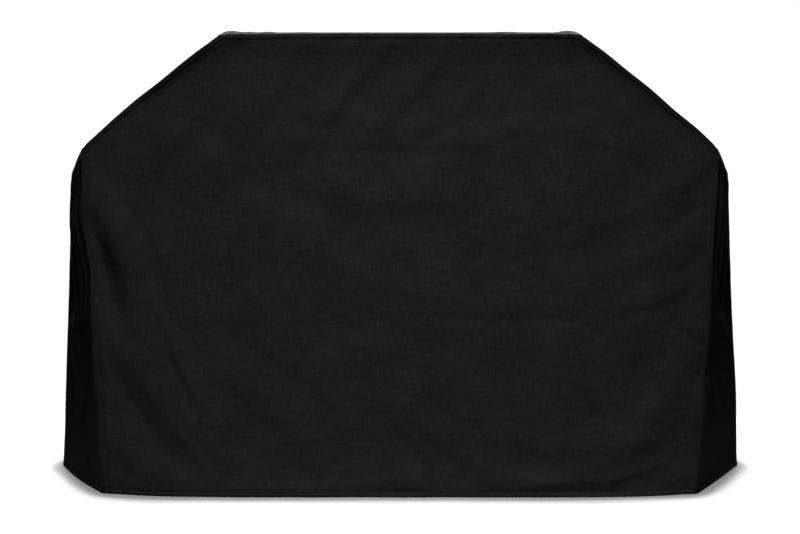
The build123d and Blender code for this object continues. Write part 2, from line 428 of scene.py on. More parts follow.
BACK_FOLDS = [
    (9, 30, [(78, 88), (70, 68), (60, 50)]),
    (-8, 20, [(76, 66), (67, 44), (58, 26)]),
    (8, 24, [(-78, 87), (-66, 70), (-52, 58), (-36, 52)]),
    (-8, 16, [(-79, 76), (-68, 61), (-56, 51)]),
    (7, 20, [(-76, 62), (-64, 52), (-54, 46)]),
    (8, 26, [(31, 117), (22, 102), (9, 92)]),
    (8, 24, [(-12, 118), (-20, 104), (-31, 92)]),
    (7, 22, [(4, 117), (-4, 104), (-10, 97)]),
    (8, 48, [(-30, 72), (0, 66), (34, 70)]),
    (-5, 8, [(-26, 91), (0, 90.5), (24, 91.5)]),
    (-5, 9, [(-30, 46.5), (4, 47), (36, 46)]),
    (8, 26, [(-64, 32), (-50, 17), (-34, 6)]),
    (8, 26, [(18, 28), (33, 15), (52, 8)]),
    (6, 20, [(-12, 23), (1, 12), (16, 5)]),
    (6, 18, [(72, 30), (66, 18), (56, 9)]),
]
# On the sides, across is from the front seam and up is from the hem.
SIDE_FOLDS = [
    (7, 10, [(4, 86), (5, 66), (6, 44)]),
    (7, 9, [(9, 84), (10, 62), (12, 40)]),
    (6, 10, [(15, 82), (17, 60), (19, 42)]),
    (-4, 9, [(7, 80), (8, 56)]),
    (5, 10, [(57, 86), (56, 64), (54, 42)]),
    (5, 10, [(51, 84), (49, 60), (46, 44)]),
    (4, 10, [(45, 80), (43, 60)]),
    (5, 22, [(8, 30), (17, 16), (26, 5)]),
    (5, 22, [(54, 30), (44, 18), (35, 4)]),
]
SLOPE_FOLDS = [
    (5, 16, [(6, 4), (16, 20), (20, 40)]),
    (5, 16, [(55, 6), (46, 22), (42, 42)]),
    (4, 18, [(24, 10), (27, 30)]),
]
TOP_FOLDS = [
    (5, 20, [(6, 10), (24, 16), (52, 12)]),
    (4, 20, [(8, 44), (30, 38), (54, 46)]),
    (5, 20, [(10, 76), (28, 70), (50, 78)]),
]


def smooth_path(path):
    """Points, in metres, on a smooth line through the given ones."""
    points = np.array(path, float)[None] / 100
    steps = np.linspace(0, len(path) - 1, 5 * len(path) - 4)
    return sample(np.concatenate([points, points]), 0.0, steps)


def fold_heights(x, z, folds):
    """How far folds raise the points at x across and z up. Above its line a fold slopes gently, and
    below it steeply, as in cloth that hangs."""
    height = np.zeros(x.shape)
    for rise, width, path in folds:
        run = smooth_path(path)
        closest, lean, along = np.full(x.shape, 9.0), np.zeros(x.shape), np.zeros(x.shape)
        for i, (a, b) in enumerate(zip(run, run[1:])):
            step = b - a
            t = np.clip(((x - a[0]) * step[0] + (z - a[1]) * step[1]) / (step @ step), 0, 1)
            dx, dz = x - a[0] - t * step[0], z - a[1] - t * step[1]
            distance = np.hypot(dx, dz)
            nearer = distance < closest
            closest = np.where(nearer, distance, closest)
            lean = np.where(nearer, dz / np.maximum(distance, 1e-6), lean)
            along = np.where(nearer, (i + t) / (len(run) - 1), along)
        spread = width / 1000 * (1 + 0.30 * lean)
        fade = np.sin(np.pi * (0.10 + 0.80 * along)) ** 0.8
        height += rise / 1000 * fade * np.exp(-((closest / spread) ** 2))
    return height


class Face:
    """The front (side -1) or the back (side 1): where each place on its cut lies in space."""

    def __init__(self, name, grid, side, folds, seed):
        self.name, self.grid, self.side, self.folds, self.seed = name, grid, side, folds, seed

    def edges(self, z):
        """The row at a height, the cut's left and right edges there, and the distance from them
        over the level distance."""
        rows = np.interp(z, SEAM[: ROWS + 1, 2], STEPS[: ROWS + 1])
        left = np.interp(rows, STEPS[: ROWS + 1], SEAM[: ROWS + 1, 0])
        right = np.interp(rows, STEPS[: ROWS + 1], SEAM[::-1][: ROWS + 1, 0])
        return rows, left, right, 1 - (1 - SLANT) * smoothstep(rows, LOWER - 1, LOWER + 1)

    def relief(self, x, z):
        """How far the folds, creases and gathers raise the face."""
        _, left, right, steep = self.edges(z)
        side, top = np.minimum(x - left, right - x) * steep, TOP[2] - z
        inward = np.minimum(side, top)
        height = fold_heights(x, z, self.folds)
        height += 0.0022 * noise(self.seed, x / 0.10, z / 0.08)
        height += 0.0009 * noise(self.seed + 1, x / 0.042, z / 0.036)
        for place in (-0.50, -0.08, 0.38):
            height -= 0.0010 * bump(x, place, 0.005)
        for place in (0.47, 0.91):
            height -= 0.0004 * bump(z, place, 0.005)
        hollow = smoothstep(top, 0, 0.085) * (1 - smoothstep(top, 0.085, 0.30))
        hollow = hollow + 0.35 * bump(side, 0.05, 0.03)
        height -= 0.015 * hollow * smoothstep(z, SHOULDER[2] - 0.05, SHOULDER[2] + 0.08)
        height *= smoothstep(inward, 0, 0.028) * (0.25 + 0.75 * smoothstep(z, 0, 0.03))
        gathers = noise(self.seed + 2, z / 0.017, side / 0.05) * np.exp(-side / 0.026)
        gathers = gathers + 0.6 * noise(self.seed + 3, x / 0.019, top / 0.04) * np.exp(-top / 0.02)
        gathers = gathers + 0.5 * noise(self.seed + 4, x / 0.021, z / 0.04) * np.exp(-z / 0.022)
        height += 0.0019 * gathers * smoothstep(np.minimum(inward, z), 0.001, 0.014)
        groove = bump(inward, WELT_WIDTH + 0.0026, 0.0024) + bump(z, HEM_HEIGHT + 0.002, 0.002)
        rolled = (1 - smoothstep(z, 0.01, 0.075)) * smoothstep(side, 0, 0.05)
        return height - 0.0013 * groove - 0.006 * rolled

    def at(self, x, z, lift=0.0):
        rows, left, right, _ = self.edges(z)
        points = sample(self.grid, rows, (x - left) / (right - left) * COLUMNS)
        points[..., 1] += self.side * (self.relief(x, z) + lift)
        return points


def band_at(steps, across, lift=0.0):
    """Points of the band at fractional steps along and cells across it, raised by lift."""
    steps, across = np.broadcast_arrays(np.asarray(steps, float), np.asarray(across, float))
    low, high = np.clip(steps - 0.3, 0, ROUND), np.clip(steps + 0.3, 0, ROUND)
    near, far = np.clip(across - 0.3, 0, DEPTH), np.clip(across + 0.3, 0, DEPTH)
    along = sample(GUSSET, high, across) - sample(GUSSET, low, across)
    over = sample(GUSSET, steps, far) - sample(GUSSET, steps, near)
    normals = unit(np.cross(along, over))
    return sample(GUSSET, steps, across) + normals * np.asarray(lift)[..., None]


FACES = [
    Face("front", FRONT, -1, FRONT_FOLDS, 41),
    Face("back", REAR, 1, BACK_FOLDS, 51),
]


# ---- Making pieces ----
def mesh_piece(name, points, faces, material, uv=None):
    """An object with a mesh of its own. uv is each point's place on the flat pattern."""
    mesh = bpy.data.meshes.new(name)
    mesh.from_pydata(np.asarray(points).reshape(-1, 3).tolist(), [], [list(f) for f in faces])
    mesh.polygons.foreach_set("use_smooth", [True] * len(mesh.polygons))
    layer = mesh.uv_layers.new(name="cut")
    if uv is not None:
        corners = np.zeros(len(mesh.loops), int)
        mesh.loops.foreach_get("vertex_index", corners)
        layer.data.foreach_set("uv", np.asarray(uv).reshape(-1, 2)[corners].ravel())
    mesh.materials.append(material)
    mesh.validate()
    mesh.update()
    return add_object(name, mesh)


def repeated(shape, copies, size):
    """The faces of many copies of a shape, each with its own size points."""
    return [[size * n + corner for corner in face] for n in range(copies) for face in shape]


def facing_out(points, faces):
    """The faces of closed meshes, turned round if they face inwards."""
    points = np.asarray(points).reshape(-1, 3)
    fans = np.array([(f[0], a, b) for f in faces for a, b in zip(f[1:], f[2:])])
    a, b, c = (points[fans[:, i]] for i in range(3))
    return faces if (a * np.cross(b, c)).sum() > 0 else [f[::-1] for f in faces]


def ride_as(piece, body, slot, *nodes):
    """The piece, on its body, with the CAD nodes that it replaces hidden. Its slot is not used."""
    if body:  # the hanging webbing has none
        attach(piece, body)
    if nodes:
        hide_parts(*nodes)
    return piece


def cloth_piece(name, points, uv, flip):
    """A panel of cloth of the full thickness, from a grid of points on its outside."""
    order = quads(np.arange(points[..., 0].size).reshape(points.shape[:2]))
    piece = mesh_piece(f"{name}_cloth", points, order[:, ::-1] if flip else order, CLOTH_LOOK, uv)
    solid = piece.modifiers.new("thickness", "SOLIDIFY")
    solid.thickness = CLOTH
    solid.offset = -1
    return ride_as(piece, "cover", "cloth", f"{name}_panel")


def tube_piece(name, rings, material, slot, *nodes, body="cover"):
    """A closed strip: rings holds its cross-sections, one after another along its length."""
    count, around = rings.shape[:2]
    table = np.arange(count * around).reshape(count, around)
    faces = quads(np.concatenate([table, table[:, :1]], axis=1)).tolist()
    faces += [table[0][::-1].tolist(), table[-1].tolist()]
    along, over = distances(rings[:, 0]), distances(rings[0])
    uv = np.stack(np.meshgrid(along, over, indexing="ij"), axis=-1)
    piece = mesh_piece(name, rings, facing_out(rings, faces), material, uv)
    for face in piece.data.polygons[-2:]:
        face.use_smooth = False
    return ride_as(piece, body, slot, *nodes)


def stitch_piece(name, near, far, up, body="cover"):
    """Short raised threads from each near point to its far point."""
    ahead = unit(far - near)
    side = unit(np.cross(ahead, up)) * THREAD_RADIUS
    up = unit(np.cross(side, ahead)) * THREAD_RADIUS
    rings = []
    for share in (0.22, 0.78):
        middle = near + (far - near) * share + up * 0.9
        rings += [middle + side, middle + up, middle - side, middle - up]
    points = np.stack([near, *rings, far], axis=1)
    shape = [(0, 1 + (i + 1) % 4, 1 + i) for i in range(4)]
    shape += [(1 + i, 1 + (i + 1) % 4, 5 + (i + 1) % 4, 5 + i) for i in range(4)]
    shape += [(5 + i, 5 + (i + 1) % 4, 9) for i in range(4)]
    faces = repeated(shape, len(near), 10)
    piece = mesh_piece(name, points, facing_out(points, faces), THREAD_LOOK)
    return ride_as(piece, body, "seam_cloth")


# ---- Materials ----
class Graph:
    """A material's node tree, built by short calls."""

    def __init__(self, name):
        self.material = bpy.data.materials.new(name)
        self.material.use_nodes = True
        self.tree = self.material.node_tree
        self.shader = self.tree.nodes["Principled BSDF"]

    def put(self, socket, value):
        if isinstance(value, bpy.types.NodeSocket):
            self.tree.links.new(value, socket)
        else:
            socket.default_value = value

    def node(self, kind, settings=None, values=(), **named):
        """A new node. values fill its first sockets in order, and named ones go by name."""
        made = self.tree.nodes.new(kind)
        for key, value in (settings or {}).items():
            setattr(made, key, value)
        for socket, value in zip(made.inputs, values):
            self.put(socket, value)
        for key, value in named.items():
            self.put(made.inputs[key], value)
        return made

    def math(self, operation, *values):
        return self.node("ShaderNodeMath", {"operation": operation}, values).outputs[0]

    def noise(self, vector, detail, *factors):
        place = self.node("ShaderNodeVectorMath", {"operation": "MULTIPLY"}, (vector, factors))
        named = {"Vector": place.outputs[0], "Scale": 1.0, "Detail": detail}
        return self.node("ShaderNodeTexNoise", **named).outputs["Fac"]

    def mix(self, factor, a, b):
        made = self.node("ShaderNodeMix", {"data_type": "RGBA"})
        for number, value in ((0, factor), (6, a), (7, b)):
            self.put(made.inputs[number], value)
        return made.outputs[2]


def woven(name, tones, thread, relief, roughness=0.75, gloss=0.004, crinkle=0.00070):
    """Black plain-woven cloth, on the piece's flat pattern. tones are its darkest and lightest
    colour, thread the width of a thread, and relief and crinkle the depths of weave and wrinkles."""
    g = Graph(name)
    uv = g.node("ShaderNodeUVMap", {"uv_map": "cut"}).outputs[0]
    axes = g.node("ShaderNodeSeparateXYZ", None, (uv,)).outputs
    turns = [g.math("MULTIPLY", axis, math.pi / thread) for axis in axes[:2]]
    waves = [g.math("ABSOLUTE", g.math("SINE", turn)) for turn in turns]
    cells = g.node("ShaderNodeTexChecker", Vector=uv, Scale=1 / thread).outputs["Fac"]
    weave = g.node("ShaderNodeMix", {"data_type": "FLOAT"})
    g.put(weave.inputs[0], cells)
    g.put(weave.inputs[2], waves[0])
    g.put(weave.inputs[3], waves[1])
    slubs = [g.noise(uv, 3.0, *s) for s in ((700, 70, 1), (70, 700, 1))]
    slub = g.math("MULTIPLY", g.math("ADD", *slubs), 0.5)
    worn = g.noise(uv, 4.0, 9, 9, 1)
    streaks = [g.noise(uv, 2.0, *s) for s in ((250, 22, 1), (22, 250, 1))]
    streak = g.math("MULTIPLY", g.math("ADD", *streaks), 0.5)
    shade = g.math("ADD", g.math("MULTIPLY", slub, 0.4), g.math("MULTIPLY", worn, 0.2))
    shade = g.math("ADD", shade, g.math("MULTIPLY", streak, 0.4))
    shade = g.math("MULTIPLY_ADD", shade, 5.4, -2.2)
    dark, light = ((t, t, t * 1.04, 1) for t in tones)
    g.put(g.shader.inputs["Base Color"], g.mix(shade, dark, light))
    g.put(g.shader.inputs["Roughness"], g.math("MULTIPLY_ADD", slub, 0.16, roughness - 0.08))
    g.shader.inputs["Specular IOR Level"].default_value = gloss
    fine = g.math("MULTIPLY_ADD", weave.outputs[0], 0.6, g.math("MULTIPLY", slub, 1.2))
    small = g.math("MULTIPLY", g.noise(uv, 1.0, 150, 130, 1), 0.4)
    coarse = g.math("ADD", g.noise(uv, 2.0, 62, 48, 1), small)
    wrinkled = g.node("ShaderNodeBump", Strength=1.0, Distance=crinkle * 2, Height=coarse)
    threads = g.node("ShaderNodeBump", Strength=0.8, Distance=relief, Height=fine)
    g.put(threads.inputs["Normal"], wrinkled.outputs[0])
    g.put(g.shader.inputs["Normal"], threads.outputs[0])
    return g.material


CLOTH_LOOK = woven("cloth", (0.0028, 0.0056), 0.0007, 0.00009)
# The welts' cloth is the panels' cloth made darker, as painted shade: the raised welts, which catch
# the light from above, are darkened so that they read as dark seam edges.
SHADED_SEAM_LOOK = woven("seam_cloth", (0.0023, 0.0046), 0.0007, 0.00009, crinkle=0.0002)
TAPE_LOOK = woven("hem_tape", (0.0030, 0.0060), 0.0009, 0.00014, crinkle=0.0001)
PATCH_LOOK = woven("patch_cloth", (0.0045, 0.0090), 0.0007, 0.00010, crinkle=0.0001)
WEBBING_LOOK = woven("webbing", (0.0060, 0.0130), 0.0016, 0.00035, gloss=0.1, crinkle=0.0)
THREAD_LOOK = woven("thread", (0.0040, 0.0080), 0.0003, 0.00005, gloss=0.1, crinkle=0.0)
HOOK_LOOK = woven("hook_tape", (0.0050, 0.0120), 0.0008, 0.00010, 0.45, gloss=0.3, crinkle=0.0)
LOOP_LOOK = woven("loop_tape", (0.0050, 0.0110), 0.0006, 0.00030, 0.95, crinkle=0.0)


# ---- Panels ----
EDGE = np.array([0.0, 0.006, 0.0115, 0.0135, 0.0150, 0.0175, 0.023])  # from a seam inwards


def spaced(length, count):
    """Places along a length, evenly in its middle and as EDGE says at each end."""
    inner = np.linspace(EDGE[-1], length - EDGE[-1], count)
    return np.concatenate([EDGE[:-1], inner, length - EDGE[-2::-1]])


def face_panel(face):
    """The front or back panel, with rows at even distances up its side seams."""
    upward = STEPS[: ROWS + 1]
    run = distances(SEAM[upward][:, [0, 2]])
    places = spaced(run[-1], FACE_ROWS)
    z = np.interp(np.interp(places, run, upward), upward, SEAM[upward, 2])
    _, left, right, steep = face.edges(z)
    x = np.array([a + spaced((b - a) * s, FACE_COLUMNS) / s for a, b, s in zip(left, right, steep)])
    points = face.at(x, np.broadcast_to(z[:, None], x.shape))
    uv = np.stack([x, np.broadcast_to(places[:, None], x.shape)], axis=-1)
    return cloth_piece(face.name, points, uv, face.side > 0)


def band_panel(name, first, last, folds, seed):
    """A panel of the band from one of its steps to another."""
    steps = np.linspace(first, last, BAND_ROWS)
    across = np.linspace(0, DEPTH, BAND_COLUMNS)
    run = distances(sample(GUSSET, steps, DEPTH / 2))
    over, up = np.meshgrid(across / DEPTH * GUSSET_WIDTH, run)
    inward = np.minimum(over, GUSSET_WIDTH - over)
    height = fold_heights(over, up, folds)
    uneven = 0.0018 * noise(seed, over / 0.09, up / 0.11)
    height += uneven + 0.0008 * noise(seed + 1, over / 0.04, up / 0.04)
    from_end = np.minimum(up, run[-1] - up)
    height *= smoothstep(inward, 0, 0.03) * (0.25 + 0.75 * smoothstep(from_end, 0, 0.03))
    gathers = 0.0014 * noise(seed + 2, up / 0.02, inward / 0.05) * np.exp(-inward / 0.02)
    height += gathers * smoothstep(inward, 0, 0.01)
    crease = bump(over, GUSSET_WIDTH / 2, 0.02) * ("side" in name)
    flat = near_straps(over, up, 0.10) if "side" in name else 0.0
    height *= (1 - 0.8 * crease) * (1 - flat)
    points = band_at(steps[:, None], across[None, :], height)
    uv = np.stack([over, up], axis=-1)
    return cloth_piece(name, points, uv, first < last)


# ---- Seam welts, hem and stitches ----
# Cross-sections in millimetres: how far in from the edge, and how far out from the cloth
WELT_PROFILE = [(0, 0.2), (1, 1.5), (2.8, 2), (7, 1.8), (10.6, 1.6), (12, 0.2), (12, -0.5), (0, -0.5)]
HEM_PROFILE = [(12, 0), (11.4, 0.9), (6, 1.1), (1.2, 1), (0, 0.1)]
HEM_PROFILE += [(0, -1.1), (1.2, -2), (11.4, -1.9), (12, -1)]
WELT_PROFILE, HEM_PROFILE = np.array(WELT_PROFILE) / 1000, np.array(HEM_PROFILE) / 1000
SEAM_LENGTH, HEM_LENGTH = 3.64, 1.56  # of a face
WELT_STITCH_IN, WELT_STITCH_OUT = 0.0092, 0.0016
HEM_STITCH_UP, HEM_STITCH_OUT = 0.0095, 0.0009


def seam_places(count):
    """Places along the three upper sides of a face's cut, and the way inwards from each."""
    seam = SEAM[:, None, [0, 2]]
    line = np.concatenate([seam, seam], axis=1)
    lowest = (HEM_HEIGHT - 0.001) / SHOULDER[2] * LOWER
    steps = np.linspace(lowest, ROUND - lowest, count)
    ahead = unit(sample(line, steps + 0.4, 0.0) - sample(line, steps - 0.4, 0.0))
    return sample(line, steps, 0.0), np.stack([ahead[:, 1], -ahead[:, 0]], axis=-1)


def face_trim(face):
    """The welt round a face's three upper sides, its hem, and the stitches on both."""
    out = np.array([0.0, face.side, 0.0])
    place, inward = seam_places(WELT_SECTIONS)
    cut = place[:, None] + inward[:, None] * WELT_PROFILE[None, :, :1]
    lift = np.broadcast_to(WELT_PROFILE[:, 1], cut.shape[:2])
    rings = face.at(cut[..., 0], cut[..., 1], lift)
    welt = tube_piece(f"{face.name}_welt", rings, SHADED_SEAM_LOOK, "seam_cloth", f"{face.name}_seam_welt")
    place, inward = seam_places(2 * round(SEAM_LENGTH / STITCH))
    place = place + inward * WELT_STITCH_IN
    threads = face.at(place[:, 0], place[:, 1], WELT_STITCH_OUT)
    seam_stitches = stitch_piece(f"{face.name}_seam_stitches", threads[:-1:2], threads[1::2], out)

    x = np.linspace(SEAM[0, 0], SEAM[-1, 0], HEM_SECTIONS)
    x, z = np.broadcast_arrays(x[:, None], HEM_PROFILE[None, :, 0])
    rings = face.at(x, z, np.broadcast_to(HEM_PROFILE[:, 1], z.shape))
    rings[..., 2] = z
    hem = tube_piece(f"{face.name}_hem", rings, TAPE_LOOK, "hem_tape", f"{face.name}_hem_binding")
    x = np.linspace(SEAM[0, 0] + 0.003, SEAM[-1, 0] - 0.003, 2 * round(HEM_LENGTH / STITCH))
    threads = face.at(x, np.full(x.shape, HEM_STITCH_UP), HEM_STITCH_OUT)
    hem_stitches = stitch_piece(f"{face.name}_hem_stitches", threads[:-1:2], threads[1::2], out)
    return [welt, seam_stitches, hem, hem_stitches]


def band_rings(steps, profile, sections, margin):
    """A profile carried across the band, from a margin in cells to the other one."""
    across = np.linspace(margin, DEPTH - margin, sections)
    lift = np.broadcast_to(profile[:, 1], (sections, len(profile)))
    return band_at(steps[None, :], across[:, None], lift)


def band_stitches(name, line, margin, lift):
    """Stitches across the band, along a line at one of its fractional steps."""
    across = np.linspace(margin, DEPTH - margin, 2 * round(GUSSET_WIDTH / STITCH))
    threads, raised = band_at(line, across, lift), band_at(line, across, lift + 0.001)
    return stitch_piece(name, threads[:-1:2], threads[1::2], (raised - threads)[:-1:2])


def corner_trim(name, step, way):
    """A welt across the band, on one side of a seam line at a step, and its stitches."""
    pace = np.linalg.norm(GUSSET[step + 6 * way, 0] - GUSSET[step, 0]) / 6
    rings = band_rings(step + way * WELT_PROFILE[:, 0] / pace, WELT_PROFILE, CORNER_SECTIONS, 0.25)
    welt = tube_piece(f"{name}_seam", rings, SHADED_SEAM_LOOK, "seam_cloth", f"{name}_welt")
    line = step + way * WELT_STITCH_IN / pace
    return [welt, band_stitches(f"{name}_stitches", line, 0.5, WELT_STITCH_OUT)]


def side_hem(name, end, way):
    """The hem of one side. end is its step, and way is the direction of the steps going up."""
    steps = end + way * HEM_PROFILE[:, 0] / SHOULDER[2] * LOWER
    rings = band_rings(steps, HEM_PROFILE, SIDE_HEM_SECTIONS, 0)
    rings[..., 2] = HEM_PROFILE[:, 0]
    hem = tube_piece(f"{name}_hem", rings, TAPE_LOOK, "hem_tape", f"{name}_hem_binding")
    line = end + way * HEM_STITCH_UP / SHOULDER[2] * LOWER
    return [hem, band_stitches(f"{name}_hem_stitches", line, 0.3, HEM_STITCH_OUT)]


for face in FACES:
    panel = face_panel(face)
    trim = face_trim(face)
    area = 2 * (SHOULDER[0] + HEM[0]) / 2 * SHOULDER[2]
    area += (SHOULDER[0] + TOP[0]) * (TOP[2] - SHOULDER[2])

top = band_panel("top", ROWS, ROWS + COLUMNS, TOP_FOLDS, 61)
for name, near, way, seed in (("left", 0, 1, 71), ("right", ROUND, -1, 81)):
    shoulder, corner = near + way * LOWER, near + way * ROWS
    side = band_panel(f"{name}_side", near, shoulder, SIDE_FOLDS, seed)
    slope = band_panel(f"{name}_slope", shoulder, corner, SLOPE_FOLDS, seed + 4)
    hem = side_hem(f"{name}_side", near, way)
    corners = corner_trim(f"{name}_top_corner", corner, -way)
    corners += corner_trim(f"{name}_shoulder", shoulder, way)


# ---- Tie-down straps ----
# Places on a strap are in millimetres: across it, into the cover from its middle, and up from the
# floor.
PATCH_SIZE = (70, 76)
PATCH_EDGE = 3.4  # from the patch's edge to its stitches
SEWN_LOW, SEWN_HIGH = 325, 375
STRAP_END = 42
TAPE_END = 50
WALL = -5.25  # the inside of the side panel
WALL_OUT = WALL - 1.0  # and its outside
HALF_STRAP = (19, 0.74)  # half of the webbing's width and thickness
HALF_TAPE = (17, 0.32)
STRAP_STITCH = 3.2
BRISTLE_RADIUS = 0.11
HOOK = np.array([(0, 0, 0), (0, 0.65, 0), (0, 0.92, 0.25), (0, 0.75, 0.55)])
LOOP_REACH, LOOP_HEIGHT = np.array([(-0.6, -0.5, 0, 0.5, 0.6), (0, 0.55, 0.85, 0.55, 0)])


def web_profile(half_width, half_thickness):
    """The cross-section of ribbed webbing with smooth woven edges."""
    t = np.linspace(-half_width, half_width, 33)
    rounded = np.sqrt(np.maximum(1 - (np.abs(t) / half_width) ** 16, 0.04))
    rib = 0.07 * np.cos(2 * np.pi * t / 2.6) * (np.abs(t) < half_width - 2.2)
    h = (half_thickness - 0.08 + rib) * rounded
    return np.concatenate([np.stack([t, h], axis=1), np.stack([t[::-1], -h], axis=1)])


def box(half, low, high):
    """The corners of a rectangle on a strap, ending at its first."""
    return [(-half, low), (half, low), (half, high), (-half, high), (-half, low)]


class Strap:
    """One of the four straps, and the places on it."""

    def __init__(self, joint):
        self.body = joint["child"]
        self.hinge = np.array(joint["pos_m"], float)
        self.across = np.array(joint["axis"], float)
        self.into = np.array([-self.across[1], self.across[0], 0.0])

    def at(self, t, n, z):
        t, n, z = (np.asarray(v, float)[..., None] / 1000 for v in np.broadcast_arrays(t, n, z))
        return self.hinge * (1, 1, 0) + t * self.across + n * self.into + z * (0, 0, 1)

    def band(self, name, path, profile, material, slot, *nodes, body="cover"):
        """A band with the given cross-section along a path of (into, up) places."""
        path = np.array(path, float)
        ahead = unit(np.gradient(path, axis=0))
        normal = np.stack([-ahead[:, 1], ahead[:, 0]], axis=-1)
        cut = path[:, None] + normal[:, None] * profile[None, :, 1:]
        rings = self.at(profile[:, 0], cut[..., 0], cut[..., 1])
        return tube_piece(name, rings, material, slot, *nodes, body=body)

    def stitches(self, name, run, n, facing=1, body="cover"):
        """Threads along a run of (across, up) places, on the surface at n."""
        run, near, far = np.array(run, float), [], []
        for a, b in zip(run, run[1:]):
            count = max(round(np.linalg.norm(b - a) / STRAP_STITCH), 1)
            share = np.arange(count)[:, None] / count
            near.append(a + (b - a) * share)
            far.append(a + (b - a) * (share + 0.86 / count))
        near, far = (self.at(p[:, 0], n, p[:, 1]) for p in map(np.concatenate, (near, far)))
        return stitch_piece(name, near, far, self.into * facing, body)

    def bristles(self, name, roots, paths, sides, material, slot):
        """Fine bent threads, from their roots along their paths. sides are square to each path's
        plane."""
        sides = np.broadcast_to(sides[:, None], paths.shape)
        over = np.cross(unit(np.gradient(paths, axis=1)), sides)
        corners = [sides, 0.87 * over - 0.5 * sides, -0.87 * over - 0.5 * sides]
        corners = BRISTLE_RADIUS * np.stack(corners, axis=2)
        places = (roots[:, None] + paths)[:, :, None] + corners
        size = 3 * paths.shape[1]
        shape = [(2, 1, 0), (size - 3, size - 2, size - 1)]
        for i in range(0, size - 3, 3):
            shape += [(i + k, i + (k + 1) % 3, i + 3 + (k + 1) % 3, i + 3 + k) for k in range(3)]
        points = self.at(*np.moveaxis(places, -1, 0))
        faces = facing_out(points, repeated(shape, len(roots), size))
        return ride_as(mesh_piece(name, points, faces, material), self.body, slot)


def turned_edge(half):
    """Places from -half to half, close together where an edge is turned under."""
    edge = np.array([0, 0.3, 0.8, 1.6, 2.6, 3.4, 4.2, 6, 7, 8, 9, 10])
    inner = np.linspace(10 - half, half - 10, 12)[1:-1]
    return np.concatenate([edge - half, inner, half - edge[::-1]])


def make_patch(strap):
    """The reinforcement patch on the wall: flat cloth with its edges turned under."""
    half, tall = PATCH_SIZE[0] / 2, PATCH_SIZE[1] / 2
    middle = (SEWN_LOW + SEWN_HIGH) / 2
    t, z = turned_edge(half), turned_edge(tall)
    inward = np.minimum((half - np.abs(t))[None, :], (tall - np.abs(z))[:, None])
    thick = 0.25 + 1.15 * smoothstep(inward, -0.2, 1.2) - 0.35 * smoothstep(inward, 7, 9)
    thick = thick - 0.25 * bump(inward, PATCH_EDGE, 0.8)
    thick = thick + 0.08 * noise(91, t[None, :] / 9, z[:, None] / 9)
    up = z[:, None] + middle
    front, back = strap.at(t, WALL + thick, up), strap.at(t, WALL - 0.4 + 0 * thick, up)
    rings = np.concatenate([front, back[:, ::-1]], axis=1)
    name = f"{strap.body}_patch"
    patch = tube_piece(f"{name}_cloth", rings, PATCH_LOOK, "patch_cloth", name)
    t, z = half - PATCH_EDGE, tall - PATCH_EDGE
    run = box(t, middle - z, middle + z)
    threads = [
        strap.stitches(f"{name}_stitches", run, WALL + 1.1),
        strap.stitches(f"{name}_outer_stitches", run, WALL_OUT, -1),
    ]


def make_anchor(strap):
    """The strap's end, folded twice over itself and sewn down with a crossed box."""
    turn = np.linspace(0, np.pi, 7)[1:-1]
    levels = (336, 348, 360)
    path = [(0, z) for z in (SEWN_LOW, *levels, SEWN_HIGH - 2.2)]
    path += [(0.75 * math.cos(a) - 0.75, SEWN_HIGH - 1.5 + 0.75 * math.sin(a)) for a in turn]
    path += [(-1.5, z) for z in (SEWN_HIGH - 2.2, *levels[::-1], SEWN_LOW + 2.2)]
    path += [(0.75 * math.cos(a) - 2.25, SEWN_LOW + 1.5 - 0.75 * math.sin(a)) for a in turn]
    path += [(-3.0, z) for z in (SEWN_LOW + 2.2, *levels, SEWN_HIGH - 1)]
    name = f"{strap.body}_anchor"
    strap.band(f"{name}_webbing", path, web_profile(*HALF_STRAP), WEBBING_LOOK, "webbing", name)
    t, low, high = 15, SEWN_LOW + 4, SEWN_HIGH - 4
    run = box(t, low, high) + [(t, high), (t, low), (-t, high)]
    strap.stitches(f"{name}_stitches", run, HALF_STRAP[1] - 0.05)
    strap.stitches(f"{name}_outer_stitches", run, WALL_OUT, -1)


def make_free_end(strap):
    """The hanging webbing. Its top, narrowed, is inside the sewn end."""
    z = np.concatenate([np.linspace(SEWN_LOW + 6, 300, 26), np.linspace(298, STRAP_END, 120)])
    t, h = web_profile(*HALF_STRAP).T
    inside = smoothstep(z, SEWN_LOW - 2, SEWN_LOW)[:, None]
    end = np.sqrt(np.clip((z[:, None] - STRAP_END) / 1.5, 0.15, 1))
    sway = 0.10 * noise(92, z / 30)[:, None] * smoothstep(SEWN_LOW - z, 30, 90)[:, None]
    wide = 1 - 0.02 * inside - 0.03 * (1 - end)
    rings = strap.at(t * wide, sway - h * end * (1 - 0.15 * inside), z[:, None])
    name = f"{strap.body}_webbing"
    piece = tube_piece(name, rings, WEBBING_LOOK, "webbing", strap.body, body=None)
    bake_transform(piece)


